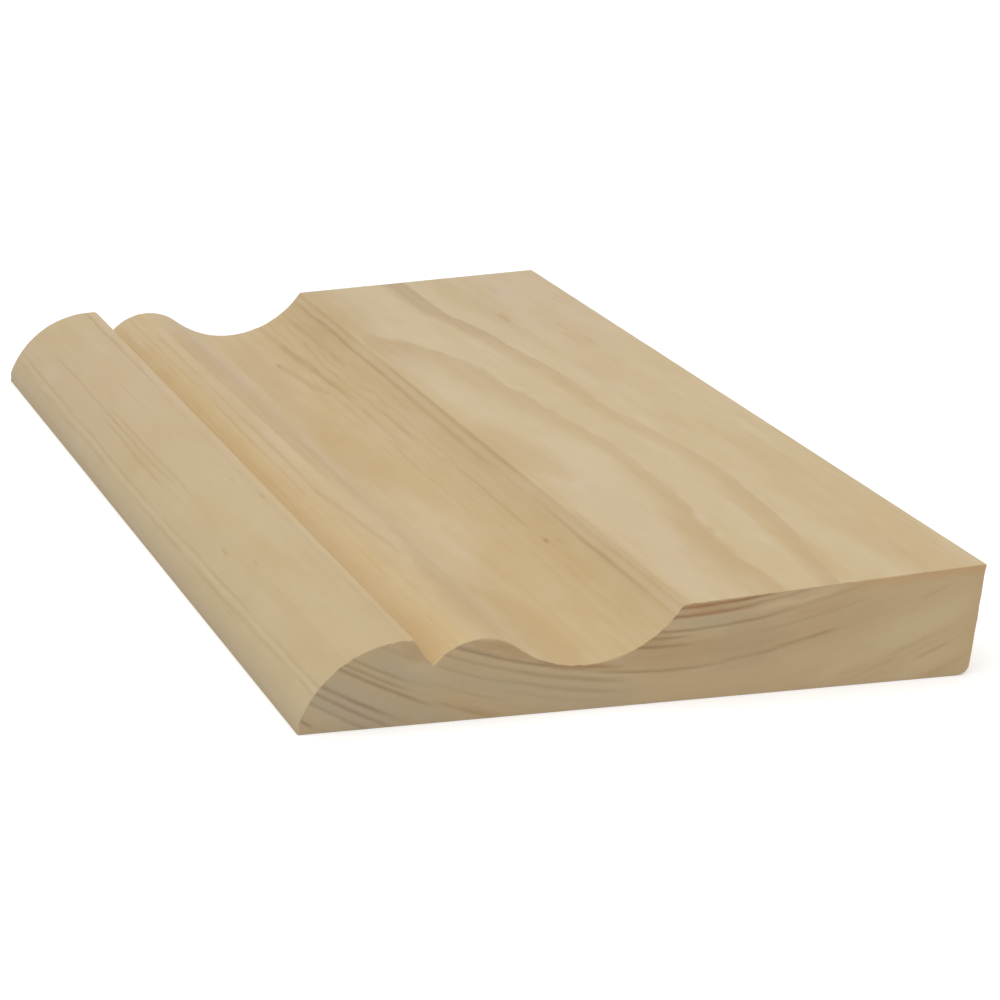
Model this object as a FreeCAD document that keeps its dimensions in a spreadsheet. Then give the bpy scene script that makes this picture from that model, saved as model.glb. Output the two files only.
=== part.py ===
import FreeCAD, Part
import math
import os

import Sketcher

# Skirting board length: one piece of planed softwood, moulded along its face.
# It lies on its back. +X runs across the board from the moulded edge to the
# thick edge, +Y runs along the grain and +Z points out of the moulded face.
# The origin is at the middle of the back.

NODE = "skirting_board"

doc = FreeCAD.newDocument("SkirtingBoard")


# Driving dimensions in millimetres and degrees.
# Each "across" is measured from the moulded edge, each "height" from the back.
SIZES = [
    ("board_width", 119.0),
    ("board_length", 220.0),
    ("thick_edge_height", 19.5),
    ("thick_edge_lean", 1.9),
    ("nose_start_height", 1.8),
    ("nose_crest_across", 17.7),
    ("nose_crest_height", 14.3),
    ("shoulder_radius", 1.0),
    ("groove_across", 22.0),
    ("groove_height", 9.7),
    ("groove_wall_angle", 55.0),
    ("bead_across", 30.2),
    ("bead_height", 13.6),
    ("turn_across", 36.4),
    ("cove_across", 47.5),
    ("cove_height", 7.7),
    ("arris_across", 64.4),
    ("arris_height", 16.6),
    ("front_easing", 0.4),
    ("back_easing", 2.0),
]

sheet = doc.addObject("Spreadsheet::Sheet", "Sizes")
for row, (alias, value) in enumerate(SIZES, start=1):
    sheet.set("A%d" % row, alias)
    sheet.set("B%d" % row, str(value))
    sheet.setAlias("B%d" % row, alias)
doc.recompute()


def size(alias):
    return float(getattr(sheet, alias))


def origin_plane(body, role):
    for feature in body.Origin.OriginFeatures:
        if feature.Role == role:
            return feature
    raise RuntimeError("no origin plane " + role)


# Geometry of the moulded section, in the sketch's own axes.
def bearing(centre, point):
    return math.atan2(point.y - centre.y, point.x - centre.x)


def arc(centre, first, last):
    # Runs anticlockwise from the first point to the last.
    circle = Part.Circle(centre, FreeCAD.Vector(0, 0, 1), centre.distanceToPoint(first))
    return Part.ArcOfCircle(circle, bearing(centre, first), bearing(centre, last))


def flat_at_top(rise, run):
    # Radius of an arc that is level at one end and rises over the run to the other.
    return (run ** 2 + rise ** 2) / (2 * rise)


def shoulder_centre(nose_centre, nose_radius, groove, slope):
    # Centre of the rounding that touches the nose from inside and the groove wall.
    up_wall = FreeCAD.Vector(-math.cos(slope), math.sin(slope), 0)
    into_wood = FreeCAD.Vector(-math.sin(slope), -math.cos(slope), 0)
    base = groove + into_wood * size("shoulder_radius") - nose_centre
    reach = nose_radius - size("shoulder_radius")
    along = base.dot(up_wall)
    travel = -along + math.sqrt(along ** 2 - base.dot(base) + reach ** 2)
    centre = nose_centre + base + up_wall * travel
    foot = centre - into_wood * size("shoulder_radius")
    return centre, foot


def section_outline():
    # Returns the outline's lines and arcs, in order from the moulded edge.
    left = -size("board_width") / 2

    def place(across, height):
        return FreeCAD.Vector(left + across, height, 0)

    back_left = place(0, 0)
    nose_start = place(0, size("nose_start_height"))
    nose_rise = size("nose_crest_height") - size("nose_start_height")
    nose_radius = flat_at_top(nose_rise, size("nose_crest_across"))
    nose_centre = place(size("nose_crest_across"), size("nose_crest_height") - nose_radius)

    groove = place(size("groove_across"), size("groove_height"))
    slope = math.radians(size("groove_wall_angle"))
    rounding_centre, wall_top = shoulder_centre(nose_centre, nose_radius, groove, slope)
    outward = (rounding_centre - nose_centre).normalize()
    nose_end = nose_centre + outward * nose_radius

    crest = place(size("bead_across"), size("bead_height"))
    bead_near_radius = flat_at_top(crest.y - groove.y, crest.x - groove.x)
    bead_near_centre = crest - FreeCAD.Vector(0, bead_near_radius, 0)

    # The bead turns into the cove on the straight line from its crest to the cove's bottom.
    cove = place(size("cove_across"), size("cove_height"))
    share = (size("turn_across") - size("bead_across")) / (cove.x - crest.x)
    turn = crest + (cove - crest) * share
    bead_far_radius = flat_at_top(crest.y - turn.y, turn.x - crest.x)
    bead_far_centre = crest - FreeCAD.Vector(0, bead_far_radius, 0)
    cove_near_radius = flat_at_top(turn.y - cove.y, cove.x - turn.x)
    cove_near_centre = cove + FreeCAD.Vector(0, cove_near_radius, 0)

    arris = place(size("arris_across"), size("arris_height"))
    cove_far_radius = flat_at_top(arris.y - cove.y, arris.x - cove.x)
    cove_far_centre = cove + FreeCAD.Vector(0, cove_far_radius, 0)

    front_right = place(size("board_width"), size("thick_edge_height"))
    back_right = place(size("board_width") - size("thick_edge_lean"), 0)

    return [
        Part.LineSegment(back_left, nose_start),
        arc(nose_centre, nose_end, nose_start),
        arc(rounding_centre, wall_top, nose_end),
        Part.LineSegment(groove, wall_top),
        arc(bead_near_centre, crest, groove),
        arc(bead_far_centre, turn, crest),
        arc(cove_near_centre, turn, cove),
        arc(cove_far_centre, cove, arris),
        Part.LineSegment(arris, front_right),
        Part.LineSegment(front_right, back_right),
        Part.LineSegment(back_right, back_left),
    ]


# Names for the outline's pieces and for the ends of each.
(EDGE_LEFT, NOSE, SHOULDER, WALL, BEAD_NEAR, BEAD_FAR,
 COVE_NEAR, COVE_FAR, FACE, EDGE_RIGHT, BACK) = range(11)
START, END, CENTRE = 1, 2, 3
ORIGIN = -1

# The nose is one arc that leaves the edge at its start and is level at its crest.
NOSE_RISE = "(Sizes.nose_crest_height - Sizes.nose_start_height)"
NOSE_RADIUS = "(Sizes.nose_crest_across ^ 2 + %s ^ 2) / (2 * %s)" % (NOSE_RISE, NOSE_RISE)


def join(sketch, kind, first, first_end, second, second_end):
    sketch.addConstraint(Sketcher.Constraint(kind, first, first_end, second, second_end))


def bind(sketch, constraint, name, expression):
    index = sketch.addConstraint(constraint)
    sketch.renameConstraint(index, name)
    sketch.setExpression("Constraints." + name, expression)


def bind_across(sketch, name, piece, end):
    start = sketch.getPoint(EDGE_LEFT, START)
    value = sketch.getPoint(piece, end).x - start.x
    constraint = Sketcher.Constraint("DistanceX", EDGE_LEFT, START, piece, end, value)
    bind(sketch, constraint, name, "Sizes." + name)


def bind_height(sketch, name, piece, end):
    value = sketch.getPoint(piece, end).y
    constraint = Sketcher.Constraint("DistanceY", ORIGIN, START, piece, end, value)
    bind(sketch, constraint, name, "Sizes." + name)


def draw_section(body):
    sketch = body.newObject("Sketcher::SketchObject", "MouldedSection")
    sketch.AttachmentSupport = [(origin_plane(body, "XZ_Plane"), "")]
    sketch.MapMode = "FlatFace"
    for piece in section_outline():
        sketch.addGeometry(piece, False)

    join(sketch, "Coincident", EDGE_LEFT, END, NOSE, END)
    join(sketch, "Tangent", NOSE, START, SHOULDER, END)
    join(sketch, "Tangent", SHOULDER, START, WALL, END)
    join(sketch, "Coincident", WALL, START, BEAD_NEAR, END)
    join(sketch, "Tangent", BEAD_NEAR, START, BEAD_FAR, END)
    join(sketch, "Tangent", BEAD_FAR, START, COVE_NEAR, START)
    join(sketch, "Tangent", COVE_NEAR, END, COVE_FAR, START)
    join(sketch, "Coincident", COVE_FAR, END, FACE, START)
    join(sketch, "Coincident", FACE, END, EDGE_RIGHT, START)
    join(sketch, "Coincident", EDGE_RIGHT, END, BACK, START)
    join(sketch, "Coincident", BACK, END, EDGE_LEFT, START)
    join(sketch, "Vertical", BEAD_NEAR, CENTRE, BEAD_NEAR, START)
    join(sketch, "Vertical", COVE_NEAR, CENTRE, COVE_NEAR, END)
    sketch.addConstraint(Sketcher.Constraint("Vertical", EDGE_LEFT))
    sketch.addConstraint(Sketcher.Constraint("Horizontal", BACK))
    sketch.addConstraint(Sketcher.Constraint("PointOnObject", EDGE_LEFT, START, ORIGIN))

    half = Sketcher.Constraint("DistanceX", EDGE_LEFT, START, ORIGIN, START, size("board_width") / 2)
    bind(sketch, half, "half_width", "Sizes.board_width / 2")
    bind_across(sketch, "nose_crest_across", NOSE, CENTRE)
    bind_across(sketch, "groove_across", WALL, START)
    bind_across(sketch, "bead_across", BEAD_FAR, END)
    bind_across(sketch, "turn_across", BEAD_FAR, START)
    bind_across(sketch, "cove_across", COVE_NEAR, END)
    bind_across(sketch, "arris_across", FACE, START)
    bind_across(sketch, "board_width", FACE, END)
    bind_height(sketch, "nose_start_height", NOSE, END)
    bind_height(sketch, "groove_height", WALL, START)
    bind_height(sketch, "bead_height", BEAD_FAR, END)
    bind_height(sketch, "cove_height", COVE_NEAR, END)
    bind_height(sketch, "arris_height", FACE, START)
    bind_height(sketch, "thick_edge_height", FACE, END)
    rounding = Sketcher.Constraint("Radius", SHOULDER, size("shoulder_radius"))
    bind(sketch, rounding, "shoulder_radius", "Sizes.shoulder_radius")
    curve = Sketcher.Constraint("Radius", NOSE, sketch.Geometry[NOSE].Radius)
    bind(sketch, curve, "nose_radius", NOSE_RADIUS)
    lean = Sketcher.Constraint("DistanceX", EDGE_RIGHT, END, EDGE_RIGHT, START, size("thick_edge_lean"))
    bind(sketch, lean, "thick_edge_lean", "Sizes.thick_edge_lean")
    wall_turn = math.radians(180.0 - size("groove_wall_angle"))
    tilt = Sketcher.Constraint("Angle", WALL, wall_turn)
    bind(sketch, tilt, "groove_wall_turn", "180 deg - Sizes.groove_wall_angle * 1 deg")
    return sketch


def extrude(body, sketch):
    pad = body.newObject("PartDesign::Pad", "BoardLength")
    pad.Profile = sketch
    pad.setExpression("Length", "Sizes.board_length")
    pad.Midplane = True
    return pad


def long_edges(shape, corners):
    # Names of the edges along the grain that pass nearest to the given corners.
    names = []
    for corner in corners:
        best = None
        for number, edge in enumerate(shape.Edges, start=1):
            first, last = edge.Vertexes[0].Point, edge.Vertexes[-1].Point
            if abs(first.y - last.y) < size("board_length") / 2:
                continue
            gap = math.hypot(first.x - corner[0], first.z - corner[1])
            if best is None or gap < best[0]:
                best = (gap, "Edge%d" % number)
        names.append(best[1])
    return names


def ease(body, base, name, corners, expression):
    fillet = body.newObject("PartDesign::Fillet", name)
    fillet.Base = (base, long_edges(base.Shape, corners))
    fillet.setExpression("Radius", expression)
    doc.recompute()
    return fillet


def build_board():
    body = doc.addObject("PartDesign::Body", "Board")
    body.Label = NODE
    sketch = draw_section(body)
    pad = extrude(body, sketch)
    doc.recompute()

    left = -size("board_width") / 2
    arris = (left + size("arris_across"), size("arris_height"))
    front_corner = (-left, size("thick_edge_height"))
    back_corner = (-left - size("thick_edge_lean"), 0.0)
    front = ease(body, pad, "FrontEasing", [arris, front_corner], "Sizes.front_easing")
    back = ease(body, front, "BackEasing", [back_corner], "Sizes.back_easing")
    body.Tip = back
    return body


board = build_board()
doc.recompute()

for item in doc.Objects:
    if "Invalid" in item.State or "Error" in item.State:
        raise RuntimeError("%s did not compute: %s" % (item.Name, item.State))
if board.Shape.isNull() or not board.Shape.isValid():
    raise RuntimeError(NODE + " has no valid shape")

box = board.Shape.BoundBox
print("solids", len(board.Shape.Solids), "volume", round(board.Shape.Volume, 1))
print("x", round(box.XMin, 3), round(box.XMax, 3))
print("y", round(box.YMin, 3), round(box.YMax, 3))
print("z", round(box.ZMin, 3), round(box.ZMax, 3))

os.makedirs("parts", exist_ok=True)
board.Shape.exportStep("parts/%s.step" % board.Label)
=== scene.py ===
"""Dresses the skirting board length: its moulded body, its pine, the stage and the camera."""

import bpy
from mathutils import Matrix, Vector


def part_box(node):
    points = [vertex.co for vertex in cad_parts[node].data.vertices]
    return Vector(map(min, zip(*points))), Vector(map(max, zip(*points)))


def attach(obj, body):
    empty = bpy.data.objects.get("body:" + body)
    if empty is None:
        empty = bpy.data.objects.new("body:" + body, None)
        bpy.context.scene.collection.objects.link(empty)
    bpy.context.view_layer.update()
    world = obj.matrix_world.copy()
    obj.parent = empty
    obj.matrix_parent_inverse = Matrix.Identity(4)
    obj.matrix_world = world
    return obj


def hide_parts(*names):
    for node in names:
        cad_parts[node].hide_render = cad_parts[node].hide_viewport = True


bl_info = {
    "name": "Skirting Board Length",
    "version": (1, 0, 0),
    "blender": (4, 5, 0),
    "location": "3D View > Sidebar > Skirting Board",
    "description": "Builds a short length of moulded softwood skirting board on a pale stage",
    "category": "Object",
}

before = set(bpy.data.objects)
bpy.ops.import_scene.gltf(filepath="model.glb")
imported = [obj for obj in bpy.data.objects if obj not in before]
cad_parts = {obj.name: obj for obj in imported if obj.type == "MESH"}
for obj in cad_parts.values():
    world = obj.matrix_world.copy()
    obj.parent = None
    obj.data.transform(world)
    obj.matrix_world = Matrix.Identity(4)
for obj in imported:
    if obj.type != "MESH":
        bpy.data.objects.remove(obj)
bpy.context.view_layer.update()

import math

import bpy
from mathutils import Matrix, Vector, noise

NODE = "skirting_board"
BODY = "root"
LOW, HIGH = (Vector(corner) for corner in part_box(NODE))
MM = 0.001


# Sizes and colours that a user would change

def number(name, default, description, **settings):
    return bpy.props.FloatProperty(name=name, description=description, default=default, **settings)


def length(name, default, description):
    """Property for a length whose default is given in mm."""
    return number(name, default * MM, description, subtype="DISTANCE", unit="LENGTH", precision=5)


def degrees(name, default, description):
    """Property for an angle whose default is given in degrees."""
    return number(name, math.radians(default), description, subtype="ANGLE", unit="ROTATION")


def colour(name, default, description):
    return bpy.props.FloatVectorProperty(
        name=name, description=description, default=default, size=3, min=0.0, max=1.0, subtype="COLOR"
    )


class SkirtingSection(bpy.types.PropertyGroup):
    """Section of the board. Across is measured from the moulded edge, height from the back."""

    width: length("Width", 119.0, "Width of the board over both edges")
    thick_edge_height: length("Thick Edge", 19.5, "Height of the plain thick edge")
    thick_edge_lean: length("Edge Lean", 1.9, "How far the thick edge leans in at the back")
    nose_start_height: length("Nose Start", 1.8, "Height at which the nose leaves the edge")
    nose_crest_across: length("Nose Across", 17.7, "Place of the nose's crest")
    nose_crest_height: length("Nose Height", 14.3, "Height of the nose's crest")
    shoulder_radius: length("Shoulder", 1.0, "Rounding between the nose and the groove")
    groove_across: length("Groove Across", 22.0, "Place of the bottom of the groove")
    groove_height: length("Groove Height", 9.7, "Height of the bottom of the groove")
    groove_wall_angle: degrees("Groove Wall", 55.0, "Slope of the groove's wall under the shoulder")
    bead_across: length("Bead Across", 30.2, "Place of the bead's crest")
    bead_height: length("Bead Height", 13.6, "Height of the bead's crest")
    turn_across: length("Turn Across", 36.4, "Place where the bead turns into the cove")
    cove_across: length("Cove Across", 47.5, "Place of the bottom of the cove")
    cove_height: length("Cove Height", 7.7, "Height of the bottom of the cove")
    arris_across: length("Arris Across", 64.4, "Place of the arris between the cove and the flat")
    arris_height: length("Arris Height", 16.6, "Height of the arris")
    front_easing: length("Front Easing", 0.4, "Rounding of the arris and of the thick edge")
    back_easing: length("Back Easing", 2.0, "Rounding of the thick edge at the back")


class SkirtingRelief(bpy.types.PropertyGroup):
    """Fine relief of the planed faces and the sawn ends."""

    wander: length("Wander", 0.05, "Depth of the long hollows left by planing")
    rim_wear: length("Rim Wear", 0.3, "Wear along the rims of the sawn ends")
    back_wear: length("Back Wear", 0.05, "Wear along the rims of the sawn ends at the back")
    arris_wear: length("Arris Wear", 0.07, "Wear along the long arrises")


class SkirtingPine(bpy.types.PropertyGroup):
    """Colours of the pine, and where its growth rings run."""

    pale_face: colour("Pale Wood", (0.64, 0.508, 0.322), "Palest wood on the planed faces")
    rosy_face: colour("Rosy Wood", (0.625, 0.48, 0.345), "Rosy pale wood on the planed faces")
    gold_face: colour("Golden Wood", (0.575, 0.415, 0.205), "Golden wood on the planed faces")
    # Golden wood in the groove, brighter than the other golden wood as painted light against the shade under
    # the nose's shoulder.
    groove_gold_and_light: colour("Groove Gold And Light", (0.7, 0.492, 0.222), "Bright golden wood in the groove")
    late_face: colour("Late Wood", (0.54, 0.385, 0.2), "Darker wood towards the end of a year")
    grey_face: colour("Grey Late Wood", (0.495, 0.357, 0.208), "Greyer late wood towards the far end")
    line_face: colour("Fine Lines", (0.38, 0.23, 0.1), "Fine dark lines and flecks along the grain")
    # Grey-green colour of painted shade low on the moulded edge and over the nose; it also greys the far
    # flat.
    grey_and_painted_shade: colour("Grey And Painted Shade", (0.4, 0.345, 0.235), "Greyer wood low down on the moulded edge")
    early_end: colour("Early End", (0.535, 0.4, 0.232), "Pale wood on the sawn ends")
    shade_end: colour("Shaded End", (0.412, 0.315, 0.192), "Duller wood on the sawn ends")
    warm_end: colour("Warm End", (0.43, 0.265, 0.125), "Warmer brown wood under the rim of the sawn ends")
    rim_end: colour("Rim End", (0.535, 0.315, 0.132), "Orange wood under the rim of the sawn ends")
    pale_end: colour("Pale End", (0.6, 0.47, 0.285), "Palest wood on the sawn ends")
    cool_end: colour("Cool End", (0.42, 0.355, 0.252), "Greyer wood on the moulded side of the sawn ends")
    late_end: colour("Late End", (0.2, 0.122, 0.052), "Dark lines of the years on the sawn ends")
    red_end: colour("Red End", (0.28, 0.11, 0.052), "Reddish lines next to the arris on the sawn ends")
    heart_across: length("Heart Across", 62.0, "Place under the middle of the tree")
    near_bend: length("Near Bend", 100.0, "Radius of the rings on the moulded side")
    far_bend: length("Far Bend", 118.0, "Radius of the rings on the thick side")


class SkirtingStage(bpy.types.PropertyGroup):
    """Floor, light and camera."""

    floor: colour("Floor", (0.86, 0.86, 0.86), "Colour of the floor")
    sky: number("Sky", 0.665, "Strength of the even light from all round")
    lamp_power: number("Lamp", 32.0, "Power of the soft lamp overhead", unit="POWER")
    lens: number("Lens", 120.17, "Focal length of the camera", unit="CAMERA")
    roll: degrees("Roll", 2.2, "Roll of the camera about its line of sight")


# Section of the board, in metres, as points of (across, height)

def arc(centre, first, last, steps):
    """Points from first to last round centre, the short way, both ends included."""
    start = math.atan2(first.y - centre.y, first.x - centre.x)
    turn = math.atan2(last.y - centre.y, last.x - centre.x) - start
    turn = (turn + math.pi) % (2 * math.pi) - math.pi
    radius = (first - centre).length
    points = []
    for step in range(steps + 1):
        angle = start + turn * step / steps
        points.append(centre + Vector((math.cos(angle), math.sin(angle))) * radius)
    return points


def line(first, last, steps):
    return [first.lerp(last, step / steps) for step in range(steps + 1)]


def level_arc_radius(rise, run):
    """Radius of an arc that is level at one end and rises over the run to the other."""
    return (run ** 2 + rise ** 2) / (2 * rise)


def eased_corner(before, corner, after, radius, steps):
    """Arc that rounds a corner between the directions to the points before and after it."""
    back = (before - corner).normalized()
    ahead = (after - corner).normalized()
    half = math.acos(max(-1.0, min(1.0, back.dot(ahead)))) / 2
    reach = radius / math.tan(half)
    centre = corner + (back + ahead).normalized() * (radius / math.sin(half))
    return arc(centre, corner + back * reach, corner + ahead * reach, steps)


def shoulder_arc(part, nose_centre, nose_radius, groove):
    """Rounding that touches the nose from inside and the groove's wall."""
    slope = part.groove_wall_angle
    up_wall = Vector((-math.cos(slope), math.sin(slope)))
    into_wood = Vector((-math.sin(slope), -math.cos(slope)))
    base = groove + into_wood * part.shoulder_radius - nose_centre
    reach = nose_radius - part.shoulder_radius
    along = base.dot(up_wall)
    travel = -along + math.sqrt(along ** 2 - base.dot(base) + reach ** 2)
    centre = nose_centre + base + up_wall * travel
    nose_end = nose_centre + (centre - nose_centre).normalized() * nose_radius
    return arc(centre, nose_end, centre - into_wood * part.shoulder_radius, 8)


def moulded_side(part):
    """Top of the section, from the nose's start to the top of the thick edge."""
    nose_start = Vector((0.0, part.nose_start_height))
    nose_radius = level_arc_radius(part.nose_crest_height - part.nose_start_height, part.nose_crest_across)
    nose_centre = Vector((part.nose_crest_across, part.nose_crest_height - nose_radius))
    groove = Vector((part.groove_across, part.groove_height))
    shoulder = shoulder_arc(part, nose_centre, nose_radius, groove)

    crest = Vector((part.bead_across, part.bead_height))
    cove = Vector((part.cove_across, part.cove_height))
    turn = crest.lerp(cove, (part.turn_across - crest.x) / (cove.x - crest.x))
    near_centre = crest - Vector((0.0, level_arc_radius(crest.y - groove.y, crest.x - groove.x)))
    far_centre = crest - Vector((0.0, level_arc_radius(crest.y - turn.y, turn.x - crest.x)))
    fall_centre = cove + Vector((0.0, level_arc_radius(turn.y - cove.y, cove.x - turn.x)))
    arris = Vector((part.arris_across, part.arris_height))
    rise_centre = cove + Vector((0.0, level_arc_radius(arris.y - cove.y, arris.x - cove.x)))

    corner = Vector((part.width, part.thick_edge_height))
    foot = Vector((part.width - part.thick_edge_lean, 0.0))
    cove_rise = arc(rise_centre, cove, arris, 36)
    arris_round = eased_corner(cove_rise[-2], arris, corner, part.front_easing, 5)
    corner_round = eased_corner(arris, corner, foot, part.front_easing, 6)

    runs = [
        arc(nose_centre, nose_start, shoulder[0], 46),
        shoulder,
        line(shoulder[-1], groove, 7),
        arc(near_centre, groove, crest, 15),
        arc(far_centre, crest, turn, 12),
        arc(fall_centre, turn, cove, 16),
        cove_rise[:-1],
        arris_round,
        line(arris_round[-1], corner_round[0], 64),
        corner_round[:4],
    ]
    return joined(runs), corner_round[3:]


def joined(runs):
    """One list of points from runs that share their end points."""
    points = list(runs[0])
    for run in runs[1:]:
        skip = 1 if (run[0] - points[-1]).length < 1e-7 else 0
        points.extend(run[skip:])
    return points


def spread(points, shares):
    """Points along a polyline at the given shares of its length."""
    steps = [0.0]
    for first, last in zip(points, points[1:]):
        steps.append(steps[-1] + (last - first).length)
    placed = []
    index = 0
    for share in shares:
        target = share * steps[-1]
        while index < len(points) - 2 and steps[index + 1] < target:
            index += 1
        span = steps[index + 1] - steps[index]
        placed.append(points[index].lerp(points[index + 1], min(1.0, (target - steps[index]) / span)))
    return placed


class Section:
    """The four sides of the section as points, and how they are shared out over columns and rows."""

    def __init__(self, part, rows):
        self.top, corner_end = moulded_side(part)
        foot = Vector((part.width - part.thick_edge_lean, 0.0))
        foot_round = eased_corner(corner_end[-1], foot, Vector((0.0, 0.0)), part.back_easing, 10)
        edge = joined([foot_round[5::-1], [foot_round[0], corner_end[-1]], corner_end[::-1]])
        back = joined([[Vector((0.0, 0.0))], foot_round[:4:-1]])
        self.rows = [(1 - math.cos(math.pi * row / rows)) / 2 for row in range(rows + 1)]
        self.columns = [(point.x - self.top[0].x) / (self.top[-1].x - self.top[0].x) for point in self.top]
        self.left = [Vector((0.0, 0.0)).lerp(self.top[0], share) for share in self.rows]
        self.right = spread(edge, self.rows)
        self.back = spread(back, self.columns)

    def outline(self):
        """Points round the section, against the clock seen from the near end."""
        return self.back[:-1] + self.right[:-1] + self.top[:0:-1] + self.left[:0:-1]

    def fill(self, outline):
        """Grid of points, grid[column][row], that fills an outline with the section's number of points."""
        columns, rows = len(self.columns) - 1, len(self.rows) - 1
        ring = outline + outline[:1]
        back = ring[:columns + 1]
        right = ring[columns:columns + rows + 1]
        top = ring[columns + rows:2 * columns + rows + 1][::-1]
        left = ring[2 * columns + rows:][::-1]
        grid = []
        for column, share in enumerate(self.columns):
            points = []
            for row, rise in enumerate(self.rows):
                side = left[row].lerp(right[row], share)
                low = left[0].lerp(right[0], share)
                high = left[-1].lerp(right[-1], share)
                points.append(back[column].lerp(top[column], rise) + side - low.lerp(high, rise))
            grid.append(points)
        return grid


# Body of the board: its rows, and the sizes of its fine relief

NEAR_STEPS = [0.0, 0.00006, 0.00015, 0.0003, 0.0006, 0.0012, 0.0022]
LONG_STEPS = 50
THICKNESS_ROWS = 14
HOLLOW_WIDTH = 9 * MM
HOLLOW_LENGTH = 55 * MM
BITE_SIZE = 1.9 * MM
RIM_REACH = 0.32 * MM
NICK_LENGTH = 6 * MM
NICK_WIDTH = 20 * MM
ARRIS_REACH = 0.5 * MM
BACK_REACH = 0.3 * MM
BACK_LEVEL = 0.01 * MM
SMOOTH_ANGLE = math.radians(32)


def end_steps(reach):
    """Distances from a sawn end to the rows of the body, close together near the end."""
    last = NEAR_STEPS[-1]
    return NEAR_STEPS + [last + (reach - last) * step / LONG_STEPS for step in range(1, LONG_STEPS + 1)]


def body_rows():
    """Places of the body's rows along the grain, from the near end to the far one."""
    half = (HIGH.y - LOW.y) / 2
    steps = end_steps(half)
    near = [LOW.y + step for step in steps]
    far = [HIGH.y - step for step in reversed(steps[:-1])]
    return near + far


def outline_loop(columns, rows):
    """Grid places of the outline's points, in the same order."""
    loop = [(column, 0) for column in range(columns)]
    loop += [(columns, row) for row in range(rows)]
    loop += [(column, rows) for column in range(columns, 0, -1)]
    loop += [(0, row) for row in range(rows, 0, -1)]
    return loop


def outline_normals(points):
    """Outward directions of a closed outline's points."""
    normals = []
    count = len(points)
    for index in range(count):
        along = points[(index + 1) % count] - points[index - 1]
        normals.append(Vector((along.y, -along.x)).normalized())
    return normals


def wear_depth(relief, across, height, place, from_end, sharp):
    """How far the surface lies inside the plain section at one point."""
    spot = Vector((across / HOLLOW_WIDTH, place / HOLLOW_LENGTH, height / HOLLOW_WIDTH))
    depth = relief.wander * (0.5 + 0.5 * noise.noise(spot))
    rim = Vector((across / BITE_SIZE, 7.0 if place > 0 else 0.0, height / BITE_SIZE))
    bite = 0.5 + 0.9 * max(-0.5, noise.noise(rim)) + 0.8 * max(0.0, noise.noise(rim * 2.3))
    fade = max(0.0, 1.0 - from_end / RIM_REACH)
    depth += relief.rim_wear * bite * fade ** 2
    if sharp:
        nick = Vector((3.0, place / NICK_LENGTH, across / NICK_WIDTH))
        depth += relief.arris_wear * (0.5 + 0.5 * noise.noise(nick))
    return max(0.0, depth)


def build_body(part, relief):
    """Mesh of the board: its long faces and its two sawn ends."""
    section = Section(part, THICKNESS_ROWS)
    outline = section.outline()
    normals = outline_normals(outline)
    arrises = (part.arris_across, part.width)
    places = body_rows()
    count = len(outline)

    vertices = []
    faces = []
    rims = []
    for place in places:
        from_end = min(place - LOW.y, HIGH.y - place)
        rim = []
        for point, normal in zip(outline, normals):
            sharp = any(abs(point.x - arris) < ARRIS_REACH for arris in arrises)
            depth = wear_depth(relief, point.x, point.y, place, from_end, sharp)
            if point.y < BACK_LEVEL:
                depth = min(depth, relief.back_wear) if from_end < BACK_REACH else 0.0
            inner = point - normal * depth
            rim.append(inner)
            vertices.append((LOW.x + inner.x, place, inner.y))
        rims.append(rim)
    for row in range(len(places) - 1):
        for index in range(count):
            after = (index + 1) % count
            here, there = row * count, (row + 1) * count
            faces.append((here + index, here + after, there + after, there + index))

    add_end(vertices, faces, section, rims[0], 0, LOW.y, True)
    add_end(vertices, faces, section, rims[-1], (len(places) - 1) * count, HIGH.y, False)
    mesh = bpy.data.meshes.new("skirting board")
    mesh.from_pydata(vertices, [], faces)
    mesh.validate()
    return mesh


def add_end(vertices, faces, section, rim, first, place, near):
    """Fills one sawn end with a grid that shares the rim's vertices."""
    grid = section.fill(rim)
    loop = outline_loop(len(section.columns) - 1, len(section.rows) - 1)
    index_of = {spot: first + number for number, spot in enumerate(loop)}
    for column, points in enumerate(grid):
        for row, point in enumerate(points):
            if (column, row) not in index_of:
                index_of[(column, row)] = len(vertices)
                vertices.append((LOW.x + point.x, place, point.y))
    for column in range(len(grid) - 1):
        for row in range(len(grid[0]) - 1):
            quad = [
                index_of[(column, row)], index_of[(column + 1, row)],
                index_of[(column + 1, row + 1)], index_of[(column, row + 1)],
            ]
            faces.append(tuple(quad if near else reversed(quad)))


# Pine: node helpers

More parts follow.
